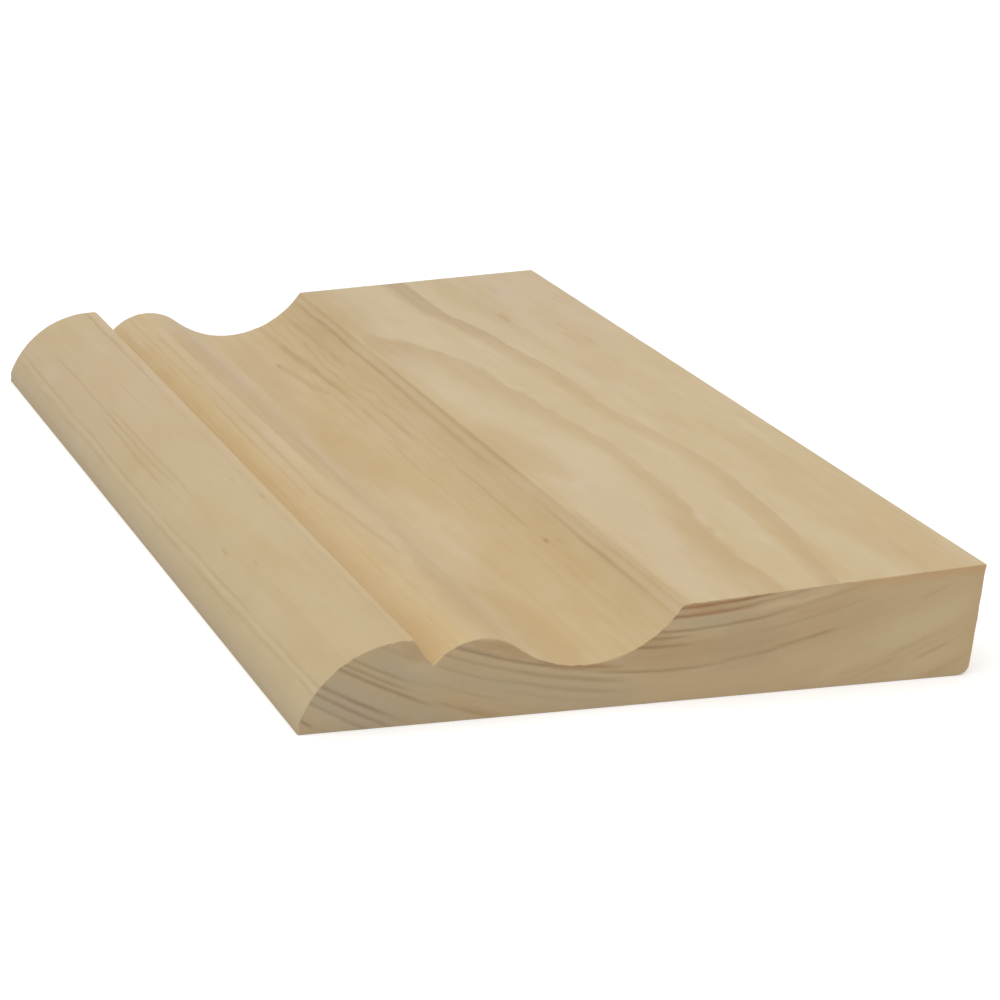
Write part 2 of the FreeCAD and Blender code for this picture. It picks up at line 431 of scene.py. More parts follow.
class Nodes:
    """Short ways to add and join the nodes of one material or world."""

    def __init__(self, owner):
        owner.use_nodes = True
        self.tree = owner.node_tree
        self.tree.nodes.clear()

    def add(self, kind, inputs=(), **settings):
        """Adds a node. Its inputs are outputs or plain values, given in order or by name."""
        node = self.tree.nodes.new(kind)
        for name, value in settings.items():
            setattr(node, name, value)
        for place, value in inputs.items() if isinstance(inputs, dict) else enumerate(inputs):
            if isinstance(value, bpy.types.NodeSocket):
                self.tree.links.new(value, node.inputs[place])
            else:
                node.inputs[place].default_value = value
        return node

    def math(self, operation, *values, clamp=False):
        return self.add("ShaderNodeMath", values, operation=operation, use_clamp=clamp).outputs[0]

    def chain(self, operation, values, clamp):
        """Works through the values in turn. Only the last result is clamped."""
        result = values[0]
        for count, value in enumerate(values[1:], 2):
            result = self.math(operation, result, value, clamp=clamp and count == len(values))
        return result

    def times(self, *values, clamp=False):
        return self.chain("MULTIPLY", values, clamp)

    def plus(self, *values, clamp=False):
        return self.chain("ADD", values, clamp)

    def minus(self, first, second):
        return self.math("SUBTRACT", first, second)

    def vector(self, operation, *values):
        node = self.add("ShaderNodeVectorMath", values, operation=operation)
        return node.outputs["Value" if operation == "LENGTH" else "Vector"]

    def join(self, *values):
        return self.add("ShaderNodeCombineXYZ", values).outputs[0]

    def split(self, vector):
        return self.add("ShaderNodeSeparateXYZ", (vector,)).outputs

    def remap(self, value, low, high, to_low=0, to_high=1, kind="LINEAR"):
        inputs = (value, low, high, to_low, to_high)
        return self.add("ShaderNodeMapRange", inputs, interpolation_type=kind).outputs[0]

    def ease(self, *values):
        """Remaps with a soft start and a soft end."""
        return self.remap(*values, kind="SMOOTHSTEP")

    def vary(self, noise_value, low, high):
        """Spreads noise, which mostly lies between 0.3 and 0.7, from low to high."""
        return self.remap(noise_value, 0.3, 0.7, low, high)

    def swing(self, value, reach):
        """Turns a value from 0 to 1 into one from -reach to reach."""
        return self.remap(value, 0, 1, -reach, reach)

    def curve(self, value, points, handle):
        node = self.add("ShaderNodeFloatCurve", {"Value": value})
        knots = node.mapping.curves[0].points
        while len(knots) < len(points):
            knots.new(0.5, 0.5)
        for knot, (place, height) in zip(knots, sorted(points)):
            knot.location = (place, height)
            knot.handle_type = handle
        node.mapping.update()
        return node.outputs[0]

    def mix(self, factor, first, second, blend="MIX"):
        """Mixes two colours, each an output or three numbers."""
        inputs = {"Factor": factor}
        for place, value in ((6, first), (7, second)):
            inputs[place] = value if isinstance(value, bpy.types.NodeSocket) else (*value, 1)
        return self.add("ShaderNodeMix", inputs, data_type="RGBA", blend_type=blend).outputs[2]


class Grain(Nodes):
    """Nodes of the pine, with places on the board in mm, plain and drifting, and the face they lie on."""

    def __init__(self, material):
        super().__init__(material)
        coordinates = self.add("ShaderNodeTexCoord")
        self.spot = self.vector("MULTIPLY", coordinates.outputs["Object"], (1 / MM, 1 / MM, 1 / MM))
        from_middle, self.along, self.height = self.split(self.spot)
        self.across = self.minus(from_middle, LOW.x / MM)

        sway = self.lumps(4, 16, 4, 0.6)
        self.drift = self.plus(self.across, self.swing(sway, 1.8))
        self.along_drift = self.plus(self.along, self.swing(sway, -14))
        self.wave = self.plus(self.across, self.swing(self.lumps(7, 30, 4, 0.6), 0.55))
        self.sweep = self.plus(self.across, self.swing(self.lumps(14, 44, 3, 0.6), 2.2))
        self.nose = self.plus(self.wave, self.remap(self.along, -110, 0, -1, 0))

        facing = self.split(coordinates.outputs["Normal"])
        self.end = self.ease(self.math("ABSOLUTE", facing[1]), 0.45, 0.85)
        self.top = self.ease(facing[2], 0.05, 0.25)

    def stretched(self, width, length, height=None):
        """Place on the board, counted in lumps of this size in mm."""
        return self.vector("MULTIPLY", self.spot, (1 / width, 1 / length, 1 / (height or width)))

    def lumps(self, width, length, detail=2, roughness=0.5, height=None):
        """Noise from 0 to 1 with lumps of this size in mm, drawn out along the grain."""
        place = self.stretched(width, length, height)
        inputs = {"Vector": place, "Scale": 1, "Detail": detail, "Roughness": roughness}
        return self.add("ShaderNodeTexNoise", inputs, noise_dimensions="3D", normalize=True).outputs[0]


# Pine: places and strengths of its figure, all in mm and shares

# Width of the board, and the height of the flat as its start at the moulded edge and its slope.
WIDTH = 119.0
FLAT_START = 13.18
FLAT_SLOPE = 0.0531

# How much of its colour each layer shows where it is strongest.
ROSY_SHARE = 0.8
BROWN_SHARE = 0.9
LINE_SHARE = 0.62
CANAL_SHARE = 0.3
YEAR_SHARE = 0.75

# How far the fine mottle moves red, green and blue, and the depth of the grain in metres.
MOTTLE = (0.02, 0.03, 0.055)
BUMP_DEPTH = 0.00006

# How far the curves of the bands' places, the rings' dips and the years' heights reach.
BAND_REACH = 120.0
DIP_REACH = 2.0
YEAR_REACH = 18.0

# Each ring is (height of its outer line under the heart, depth of its dark wood, share of the year
# that is dark).
RINGS = (
    (19.4, 0.5, 0.3), (17.7, 0.5, 0.3), (15.83, 1, 0.24), (14.22, 1, 0.36), (12.1, 0.05, 0.4),
    (10.9, 0.5, 0.4), (9.7, 0.9, 0.35), (7.3, 0.35, 0.3), (5.8, 1, 0.3), (4.2, 0.45, 0.3), (2.2, 0.4, 0.3),
    (-0.2, 0.3, 0.3), (-2.4, 0.8, 0.3), (-3.6, 0.9, 0.35), (-4.8, 1, 0.35), (-7, 0.25, 0.3),
    (-9.2, 1, 0.35), (-10.8, 0.9, 0.35), (-12.7, 0.8, 0.3), (-14.6, 0.5, 0.3), (-16.6, 0.9, 0.3),
    (-18.6, 0.7, 0.3), (-20.6, 0.7, 0.3),
)
RING_TOP = 21.0
RING_BOTTOM = -23.0

# Where the two dark bands of the flat end to the right, as (place along the grain, across).
HEART_BAND = (
    (-110, 82), (-90, 82), (-70, 83.2), (-50, 85.3), (-30, 86.4), (-10, 84.5), (10, 83), (30, 80.5),
    (50, 78.5), (60, 74.5), (75, 70), (110, 68),
)
EDGE_BAND = (
    (-110, 92), (-100, 93), (-88, 95.2), (-75, 96.8), (-60, 97.8), (-45, 98.7), (-32, 98.2), (-20, 96.8),
    (-8, 95.2), (2, 94), (20, 94.3), (40, 93), (60, 91), (70, 89.6), (85, 88.2), (110, 87.5),
)

# How far the rings sink along the board at those two bands, as (place along the grain, drop).
HEART_DIP = (
    (-110, 0), (-88, 0), (-72, -0.13), (-58, -0.37), (-42, -0.53), (-30, -0.61), (-18, -0.44), (0, -0.22),
    (18, 0.02), (35, 0.21), (48, 0.34), (56, 0.57), (66, 0.8), (85, 1), (110, 1.1),
)
EDGE_DIP = (
    (-110, 0), (-100, -0.2), (-88, -0.7), (-75, -1.06), (-60, -1.34), (-45, -1.55), (-32, -1.38),
    (-20, -1.07), (-8, -0.7), (2, -0.42), (20, -0.52), (38, -0.23), (50, 0), (60, 0.2), (70, 0.46),
    (85, 0.74), (110, 0.84),
)

# How strong the dark wood of the flat shows along the grain.
BAND_STRENGTH = (
    (-110, 0.95), (-65, 0.95), (-42, 0.74), (-20, 0.63), (0, 0.68), (20, 0.76), (45, 0.73), (64, 1),
    (110, 1),
)

# How golden the wood is across the moulded face, as (across, share). The low share at 22.4 is partly painted
# light: it pales the wood beside the groove's bottom against the shade under the nose's shoulder.
GOLD = (
    (0, 0.42), (12, 0.45), (19, 0.4), (22.4, 0.26), (24.2, 0.44), (27.6, 0.42), (31, 0.34), (38, 0.28),
    (44, 0.42), (50, 0.55), (57, 0.64), (62, 0.58), (65.5, 0.34), (68, 0.14), (74, 0.04), (80, 0.1),
    (96, 0.28), (119, 0.28),
)

# Season of a ring on the sawn ends, as (share of the year, darkness).
END_SEASON = (
    (0, 0.55), (0.08, 0.1), (0.16, 0), (0.45, 0.05), (0.66, 0.3), (0.84, 0.85), (0.93, 1), (1, 0.55),
)

# Soft brown patches of the figure, as (across, along, half width, half length, strength).
PATCHES = (
    (34, 84, 3.2, 36, 0.14), (46, 72, 4.8, 44, 0.56), (46.5, 16, 6.5, 38, 0.26), (44.5, -92, 6, 36, 0.36),
    (32.5, -95, 4.5, 30, 0.4), (66.5, -15, 5.5, 16, 0.3), (70.5, -30, 4.5, 15, 0.34),
    (66.5, 95, 8.5, 34, 0.58), (17, -95, 6, 40, 0.15), (108, -42, 2, 44, 0.26), (111.5, -34, 2.2, 34, 0.2),
    (107.5, -94, 4.5, 22, 0.26), (98.8, 73, 1.6, 10, 0.5), (98, 86, 1.6, 6, 0.25),
    (104.5, 101, 1.6, 8, 0.2), (107.5, 49, 2.4, 11, 0.25), (102.5, -8, 3.2, 8, 0.22),
    (67.5, 40, 4.5, 20, 0.14), (75, -58, 5, 26, 0.12), (112.5, 40, 6, 24, 0.12), (75, 90, 4, 24, 0.14),
    (28.4, 50, 3.2, 60, 0.26), (33, -45, 4, 24, 0.14), (52, 92, 5, 24, 0.2),
)

# Brown zones that start sharply on the left, as (across, along, lean, width, half length, strength).
EDGED_ZONES = (
    (30.5, 38, -0.014, 7, 78, 0.8), (31.6, -82, 0.03, 5, 30, 0.3),
)

# Golden patches, laid out like the brown ones; a strength under 0 is paler wood.
GOLD_PATCHES = (
    (24.3, 60, 2.2, 34, 0.2), (46.5, 14, 7, 34, 0.36), (45, -96, 6.5, 30, 0.45), (33, -92, 4.5, 28, 0.25),
    (47, -34, 6, 38, -0.3), (38, -42, 5, 26, -0.15), (68.5, -20, 6.5, 26, 0.4), (66, 90, 5, 36, 0.35),
    (81, -86, 3, 32, 0.35), (94, -84, 3, 32, 0.35), (110, -72, 9, 56, 0.26), (24, 106, 3, 20, -0.3),
)

# Rosy pale patches, laid out in the same way.
ROSY_PATCHES = (
    (34.5, 80, 6.5, 40, 1), (38, 24, 5, 50, 0.5), (29.3, 24, 1.4, 46, 0.6), (71.5, -68, 7, 50, 0.3),
    (68.5, 48, 4.5, 16, 0.6), (14, 50, 8, 70, 0.6), (6, 70, 7, 70, 0.5), (108, 84, 14, 46, 0.55),
    (103, 30, 6, 24, 0.4),
)

# Fine dark lines along the grain, as (across, half width, strength), for five strips of the board.
NOSE_LINES = (
    (1.4, 0.32, 0.44), (2.3, 0.3, 0.38), (5.3, 0.45, 0.1), (6.6, 0.45, 0.1), (11, 0.3, 0.06),
    (16.5, 0.5, 0.16),
)
BEAD_LINES = (
    (23.4, 0.45, 0.16), (24.7, 0.4, 0.14), (25.9, 0.42, 0.34), (27.8, 0.55, 0.34),
)
WALL_LINES = (
    (50.4, 0.8, 0.14), (53, 0.5, 0.16), (55, 0.42, 0.32), (56.9, 0.5, 0.3), (58.8, 0.38, 0.32),
    (60.1, 0.35, 0.26), (61.4, 0.5, 0.14),
)
ARRIS_LINES = (
    (63, 0.3, 0.26), (64.15, 0.25, 0.1), (65.8, 0.45, 0.1),
)
EDGE_LINES = (
    (104.4, 1, 0.05), (109.4, 1.1, 0.06), (115.6, 0.6, 0.12), (117.2, 0.4, 0.1),
)

# Thin pale lines beside the dark ones, laid out in the same way. The wide one at 63.6 is partly painted light
# on the steep wall under the arris, against its shade.
PALE_LINES = (
    (1.87, 0.3, 0.62), (63.6, 0.5, 0.6),
)

# Dark lines that slant or stop, as (across, along, lean, half width, half length, strength).
SLANTED_LINES = (
    (28, -2, 0, 0.7, 30, 0.2), (29.5, -45, -0.08, 0.9, 24, 0.34), (52.6, 68, -0.1, 1.2, 16, 0.36),
    (55.3, 94, -0.012, 1.1, 20, 0.3), (55.7, 80, -0.03, 1.3, 15, 0.38), (56.5, 58, -0.04, 0.9, 16, 0.4),
    (56.3, 24, 0.02, 0.8, 18, 0.25), (60.5, 82, 0, 0.7, 22, 0.3), (58.5, 20, 0, 0.7, 14, 0.22),
    (59.7, -28, 0, 0.36, 26, 0.34), (63.05, 66, 0, 0.36, 48, 0.44), (63.05, -74, 0, 0.38, 28, 0.36),
    (62.75, 8, 0, 0.34, 34, 0.26), (64.2, 0, 0, 0.3, 48, 0.24), (65, -84, 0, 0.85, 34, 0.38),
    (16.4, 99, 0, 0.5, 12, 0.45), (16.6, 70, 0, 0.6, 24, 0.34), (5.9, 62, 0, 0.4, 34, 0.38),
    (4.9, 20, 0, 0.32, 28, 0.4), (6, 18, -0.008, 0.32, 28, 0.42), (7, 12, -0.004, 0.32, 34, 0.36),
    (11.2, 45, -0.02, 0.22, 12, 0.3),
)

# Short dark flecks that stand out, as (across, along, half width, half length, strength).
FLECKS = (
    (59.9, -58.8, 0.4, 2, 0.75), (51.4, 80.5, 0.6, 2.4, 0.5), (98.6, 72, 0.8, 5, 0.35),
    (107.6, 60.5, 0.8, 5, 0.28), (106, 52, 0.5, 6, 0.22), (109.2, 47, 0.5, 7, 0.22),
    (107.9, 29, 0.7, 5, 0.14), (104.2, 95, 0.8, 4, 0.2), (114.2, 82, 0.6, 4.5, 0.2),
    (14.2, -18, 0.3, 1.8, 0.35), (16.6, -30, 0.35, 3, 0.55), (5.4, -46, 0.35, 3, 0.45),
    (7.6, -58, 0.25, 1.6, 0.4),
)

# The years as dark lines on the sawn ends, each group as (middle across, reach across) and its lines
# as (height over the heart, half thickness, strength).
END_YEARS = (
    ((5, 15), ((-12.95, 0.5, 0.42), (-10.95, 0.55, 0.62), (-9.25, 0.6, 0.66))),
    ((0.6, 2.4), ((-16.6, 0.5, 0.8),)),
    ((11, 9), ((-3.8, 0.45, 0.6), (-2.4, 0.45, 0.5))),
    ((12, 13), ((-4.95, 0.6, 0.72),)),
    ((27.5, 6.5), ((-4.15, 0.55, 0.42),)),
    ((15, 4.5), ((1.85, 0.5, 0.2),)),
    ((28, 7.5), ((-1.2, 0.5, 0.2), (1.9, 0.4, 0.3), (4.1, 0.45, 0.35), (6.35, 0.3, 0.3))),
    ((34, 16), ((5.85, 0.48, 0.68),)),
    ((44, 14), ((0.6, 0.5, 0.12), (2.3, 0.6, 0.32), (4.15, 0.6, 0.46))),
    ((46.5, 9), ((6.4, 0.45, 0.55),)),
    ((60, 15), ((5.55, 0.42, 0.62),)),
    ((77, 7), ((5.95, 0.45, 0.4),)),
    ((86.5, 7), ((6.4, 0.45, 0.5),)),
    ((59, 9), ((9.65, 0.45, 0.62), (11.05, 0.42, 0.68))),
    ((69, 16), ((12.1, 0.45, 0.7),)),
    ((88, 12), ((9.8, 0.5, 0.15), (12.4, 0.7, 0.3))),
    ((67, 13), ((14.5, 0.55, 1),)),
    ((81, 8), ((14.85, 0.4, 0.5),)),
    ((70, 13), ((15.9, 0.45, 0.9),)),
    ((79.5, 7.5), ((15.75, 0.45, 0.5),)),
    ((100.5, 4), ((-3, 0.45, 0.2),)),
    ((106, 4), ((-1.9, 0.5, 0.24),)),
    ((110, 4), ((-4.9, 0.5, 0.3), (5.45, 0.6, 0.2))),
)

# Warmer, paler and cooler patches of the sawn ends that follow the rings, as (across, height over the
# heart, half width, half height, strength).
WARM_END = (
    (18.5, 3, 3.5, 2, 0.36), (34, 7.4, 9, 1.6, 0.5), (47, 6.4, 9, 1.3, 0.65), (29.5, -3.6, 5.5, 1.2, 0.25),
    (62, 8.4, 13, 3.4, 0.42), (59.5, 11.2, 3.5, 2.4, 0.35), (69, 15.6, 8, 1.1, 0.55),
    (90, 11, 9, 1.6, 0.22), (91, 7.5, 17, 4, 0.24), (112, -9, 5, 1.5, 0.2), (76, 8.5, 9, 6.5, 0.26),
)
PALE_END = (
    (20, 0.4, 6, 1.8, 0.25), (5, -14.2, 5, 1.8, 0.22), (85, 13.4, 9, 0.8, 0.45), (91.5, -0.8, 6, 2, 0.35),
    (106.5, 0.8, 16, 3.4, 0.52), (107, -6.4, 8, 2.6, 0.4),
)
COOL_END = (
    (8, -11, 11, 6.5, 0.55), (17, -1, 8, 3.6, 0.35), (30, 0.8, 12, 3, 0.22), (69, 13.4, 8, 0.9, 0.35),
    (21, -7, 10, 3, 0.35), (46, 1.2, 16, 4.5, 0.22), (76, 8.5, 9, 6.5, 0.34),
)


def drawn(draw, grain, rows, *given):
    """Sum of what a function draws for each row of a table."""
    return grain.plus(*[draw(grain, *given, *row) for row in rows])


def along_curve(grain, points, reach):
    """Curve of a value between -reach and reach over the length of the board."""
    half = (HIGH.y - LOW.y) / 2 / MM
    placed = [((y + half) / (2 * half), 0.5 + value / (2 * reach)) for y, value in points]
    place = grain.remap(grain.along, -half, half)
    return grain.swing(grain.curve(place, placed, "AUTO_CLAMPED"), reach)


def ring_field(grain, pine):
    """Height of each point over the tree's rings, in mm, falling from the heart outwards."""
    off = grain.minus(grain.across, pine.heart_across / MM)
    shares = [MM / (2 * bend) for bend in (pine.near_bend, pine.far_bend)]
    fall = grain.times(off, off, grain.ease(off, -15, 15, *shares))
    dips = [along_curve(grain, points, DIP_REACH) for points in (HEART_DIP, EDGE_DIP)]
    bands = [along_curve(grain, points, BAND_REACH) for points in (HEART_BAND, EDGE_BAND)]
    dip = grain.remap(grain.remap(grain.across, *bands), 0, 1, *dips)
    wander = grain.swing(grain.lumps(12, 30, 1), 0.15)
    ripple = grain.swing(grain.lumps(3, 12, 4, 0.6), 0.2)
    return grain.plus(grain.minus(grain.minus(grain.height, fall), dip), wander, ripple)


def seasons(grain, field):
    """Share of the year at each point, with the depth and the share of that year's dark wood."""
    place = grain.remap(field, RING_BOTTOM, RING_TOP)
    heights = [(ring[0] - RING_BOTTOM) / (RING_TOP - RING_BOTTOM) for ring in RINGS]
    count = len(RINGS) + 1
    counted = [(1, 0)] + [(h, (n + 1) / count) for n, h in enumerate(heights)] + [(0, 1)]
    years = grain.times(grain.curve(place, counted, "VECTOR"), float(count))
    found = []
    for part in (1, 2):
        knots = [(h, ring[part]) for h, ring in zip(heights, RINGS)]
        knots += [(0, RINGS[-1][part]), (1, RINGS[0][part])]
        found.append(grain.curve(place, knots, "VECTOR"))
    return grain.math("FRACT", years), *found


def late_wood(grain, season, late):
    """Darkness of a year on the planed faces: it rises softly and ends clearly at the outer line."""
    share = grain.math("DIVIDE", grain.minus(season, grain.minus(1, late)), late)
    rise = grain.times(grain.ease(share, -0.55, 0.45), grain.remap(share, 0.2, 1, 0.82, 1.05))
    past = grain.ease(season, 0, 0.07, 0.95, 0)
    return grain.math("MAXIMUM", rise, past)


def season_darkness(grain, season):
    """Darkness of a year on the sawn ends."""
    node = grain.add("ShaderNodeValToRGB", (season,))
    stops = node.color_ramp.elements
    while len(stops) < len(END_SEASON):
        stops.new(0.5)
    for stop, (position, value) in zip(stops, END_SEASON):
        stop.position = position
        stop.color = (value, value, value, 1)
    return node.outputs[0]


def line_curve(grain, value, lines, low, high):
    """Thin lines at the given places of a value between low and high."""
    points = [(0, 0)]
    last = low
    for place, half, strength in lines:
        start = max(place - half, last + 0.02)
        last = place + half
        for spot, height in ((start, 0), (place, strength), (last, 0)):
            points.append(((spot - low) / (high - low), height))
    points.append((1, 0))
    return grain.curve(grain.remap(value, low, high), points, "VECTOR")


def oval(grain, place, solid, across, along, half_width, half_length, strength):
    """Strength inside an oval, full for the solid share of its area and then fading out."""
    side = grain.math("DIVIDE", grain.minus(place[0], across), half_width)
    travel = grain.math("DIVIDE", grain.minus(place[1], along), half_length)
    reach = grain.math("MULTIPLY_ADD", side, side, grain.times(travel, travel))
    return grain.ease(reach, solid, 1, strength, 0)


def patches(grain, rows):
    """Soft patches of the figure, drawn out along the grain."""
    return drawn(oval, grain, rows, (grain.drift, grain.along_drift), 0.1)


def within(grain, distance, solid, reach, strength=1):
    """Strength on both sides of a place: full for the solid share of the reach, then fading out."""
    return grain.ease(grain.math("ABSOLUTE", distance), reach * solid, reach, strength, 0)


def edged_zone(grain, across, along, lean, width, half_length, strength):
    """One brown zone with a clear left edge that fades to the right and at both ends."""
    travel = grain.minus(grain.along_drift, along)
    side = grain.minus(grain.wave, grain.math("MULTIPLY_ADD", travel, lean, across))
    start = grain.ease(side, -0.4, 0.6, 0, strength)
    fall = grain.ease(side, width * 0.3, width, 1, 0)
    return grain.times(start, fall, within(grain, travel, 0.5, half_length))


def slanted_line(grain, across, along, lean, half_width, half_length, strength):
    """One dark line that leans across the grain and fades at both ends."""
    travel = grain.minus(grain.along, along)
    side = grain.minus(grain.wave, grain.math("MULTIPLY_ADD", travel, lean, across))
    core = within(grain, side, 0.15, half_width, strength)
    return grain.times(core, within(grain, travel, 0.6, half_length))


def fine_lines(grain):
    """Fine dark lines along the grain of the planed faces, broken here and there."""
    bead = line_curve(grain, grain.wave, BEAD_LINES, 20, 33)
    wall = line_curve(grain, grain.sweep, WALL_LINES, 44, 68)
    lines = grain.plus(
        line_curve(grain, grain.nose, NOSE_LINES, 0, 20),
        grain.times(bead, grain.remap(grain.along, -70, -10, 0.3, 1)),
        grain.times(wall, grain.remap(grain.along, -50, 20, 0.45, 1)),
        line_curve(grain, grain.wave, ARRIS_LINES, 58, 70),
        line_curve(grain, grain.wave, EDGE_LINES, 97, WIDTH),
    )
    lines = grain.times(lines, grain.ease(grain.lumps(1.3, 20), 0.34, 0.62, 0.15, 1.15))
    flecks = drawn(oval, grain, FLECKS, (grain.across, grain.along), 0)
    marks = grain.plus(flecks, drawn(slanted_line, grain, SLANTED_LINES))
    return grain.times(grain.plus(lines, marks), grain.top)


def pale_lines(grain):
    """Thin pale lines beside the dark ones: the nose's as they lean, the others plain. The one under the
    arris is partly painted light against the steep wall's shade.
    """
    nose = grain.times(grain.remap(grain.across, 8, 9, 1, 0), grain.nose)
    rest = grain.times(grain.remap(grain.across, 8, 9), grain.wave)
    return grain.times(line_curve(grain, grain.plus(nose, rest), PALE_LINES, 0, 70), grain.top)


def fibre(grain):
    """Fine streaks along the grain, about 0 to 1."""
    broad = grain.lumps(1.1, 50, 3, 0.6)
    fine = grain.lumps(0.25, 9, 2, 0.6)
    return grain.plus(grain.times(broad, 0.6), grain.times(fine, 0.4))


def resin_canals(grain):
    """Short thin resin canals, 0 or 1 with soft edges."""
    inputs = {"Vector": grain.stretched(2.2, 30), "Scale": 1}
    cells = grain.add("ShaderNodeTexVoronoi", inputs, feature="F1", voronoi_dimensions="3D")
    core = grain.ease(cells.outputs["Distance"], 0.04, 0.09, 1, 0)
    return grain.times(core, grain.remap(cells.outputs["Color"], 0.6, 0.7))


def brown_figure(grain, season, depth, late, threads):
    """How brown the planed faces are: the years' bands and the soft patches."""
    beyond = grain.remap(grain.along, 30, -20, 0.06, 0.32)
    fade = grain.ease(grain.across, 98, 103, 1, beyond)
    flat = grain.ease(grain.across, 63.6, 65.4, 0.12, 1)
    weight = grain.remap(grain.top, 0, 1, 0.8, grain.times(flat, fade))
    far_band = grain.remap(grain.along, 25, -5, 0, 0.2)
    outer = grain.times(far_band, grain.remap(grain.across, 87, 91))
    rings = grain.times(
        late_wood(grain, season, late), depth, along_curve(grain, BAND_STRENGTH, 2),
        grain.vary(threads, 0.78, 1.15), grain.minus(1, outer), weight,
    )
    spots = grain.plus(patches(grain, PATCHES), drawn(edged_zone, grain, EDGED_ZONES))
    spots = grain.times(spots, grain.vary(threads, 0.76, 1.22), grain.top)
    return grain.plus(rings, spots, clamp=True)


def pale_and_golden(grain, pine, threads, tone):
    """Pale wood of the planed faces, and the same with its golden parts."""
    placed = [(place / WIDTH, share) for place, share in GOLD]
    gold = grain.plus(
        grain.curve(grain.math("DIVIDE", grain.drift, WIDTH), placed, "AUTO_CLAMPED"),
        grain.vary(tone, -0.2, 0.2), grain.vary(threads, -0.1, 0.1),
        grain.remap(grain.along, -110, 110, 0.1, -0.08),
    )
    near = grain.times(grain.remap(grain.along, -40, -110), grain.remap(grain.across, 72, 84))
    gold = grain.math("MULTIPLY_ADD", near, -0.04, gold)
    golden = grain.times(patches(grain, GOLD_PATCHES), grain.vary(threads, 1.25, 0.75))
    gold = grain.math("MULTIPLY_ADD", golden, grain.top, gold, clamp=True)
    rosy = grain.times(patches(grain, ROSY_PATCHES), ROSY_SHARE, clamp=True)
    pale = grain.mix(rosy, pine.pale_face, pine.rosy_face)
    return pale, grain.mix(gold, pale, pine.gold_face)


def groove_gold_and_light_share(grain, tone):
    """Share of the golden wood in the groove, made bright as painted light against the shade under the nose's
    shoulder; it reaches further right towards the near end.
    """
    right = grain.minus(grain.wave, grain.remap(grain.along, 0, -110, 0, 2.5))
    return grain.times(
        grain.remap(grain.wave, 19.9, 20.9), grain.remap(right, 23.8, 27, 1, 0),
        grain.vary(tone, 0.22, 0.4), grain.remap(grain.along, 60, 105, 1, 0.45), grain.top,
    )


def painted_shade_and_grey_share(grain):
    """Share of painted shade and greyer colour: grey-green painted shade low on the edge next to the floor
    and over the nose, which the lamp lights strongly, and greyer towards the far end of the flat.
    """
    # Painted shade low on the moulded edge, next to the floor.
    foot = grain.times(grain.remap(grain.height, 5.5, 0.5), grain.remap(grain.across, 8, 4))
    # Greyer towards the far end of the flat.
    far = grain.remap(grain.along, 20, 100, 0, 0.09)
    far_flat = grain.times(far, grain.remap(grain.across, 64, 68))
    # Painted shade over the nose, which the lamp lights strongly.
    nose = grain.remap(grain.across, 16.8, 18.4, 0.12, 0)
    return grain.math("MULTIPLY_ADD", foot, 0.45, grain.math("MULTIPLY_ADD", nose, grain.top, far_flat))


def face_wood(grain, pine, season, depth, late, streak):
    """Colour of the planed faces, and how dark their figure is."""
    threads = grain.lumps(1.8, 40, 3, 0.6)
    tone = grain.lumps(7, 36, 3)
    brown = brown_figure(grain, season, depth, late, threads)
    pale, wood = pale_and_golden(grain, pine, threads, tone)
    # Golden wood in the groove, with painted light against the shade under the shoulder.
    wood = grain.mix(groove_gold_and_light_share(grain, tone), wood, pine.groove_gold_and_light)
    grey = grain.times(grain.remap(grain.along_drift, 0, 110), grain.remap(grain.across, 72, 80))
    late_tone = grain.mix(grey, pine.late_face, pine.grey_face)
    wood = grain.mix(grain.times(brown, BROWN_SHARE), wood, late_tone)
    wood = grain.mix(grain.times(fine_lines(grain), LINE_SHARE), wood, pine.line_face)
    wood = grain.mix(pale_lines(grain), wood, pale)

    mottle = grain.plus(grain.times(streak, 0.4), grain.times(grain.lumps(3.5, 9), 0.6))
    fine = grain.add("ShaderNodeCombineColor", [grain.vary(mottle, 1 - reach, 1 + reach) for reach in MOTTLE])
    wood = grain.mix(1, wood, fine.outputs[0], blend="MULTIPLY")
    # Painted shade low on the edge and over the nose, and greyer colour on the far flat.
    wood = grain.mix(painted_shade_and_grey_share(grain), wood, pine.grey_and_painted_shade)
    return grain.mix(grain.times(resin_canals(grain), CANAL_SHARE), wood, pine.line_face), brown


def year_group(grain, field, window, lines):
    """Dark lines of the years within one stretch of a sawn end."""
    middle, reach = window
    mask = within(grain, grain.minus(grain.across, middle), 0.4, reach)
    return grain.times(line_curve(grain, field, lines, -YEAR_REACH, YEAR_REACH), mask)


def end_patch(grain, place, across, height, half_width, half_height, strength):
    """One soft patch of a sawn end that follows the rings."""
    factors = (1 / half_width, 1 / half_height, 0)
    offset = (-across / half_width, -height / half_height, 0)
    reach = grain.vector("LENGTH", grain.vector("MULTIPLY_ADD", place, factors, offset))
    return grain.ease(reach, 0.2, 1.15, strength, 0)


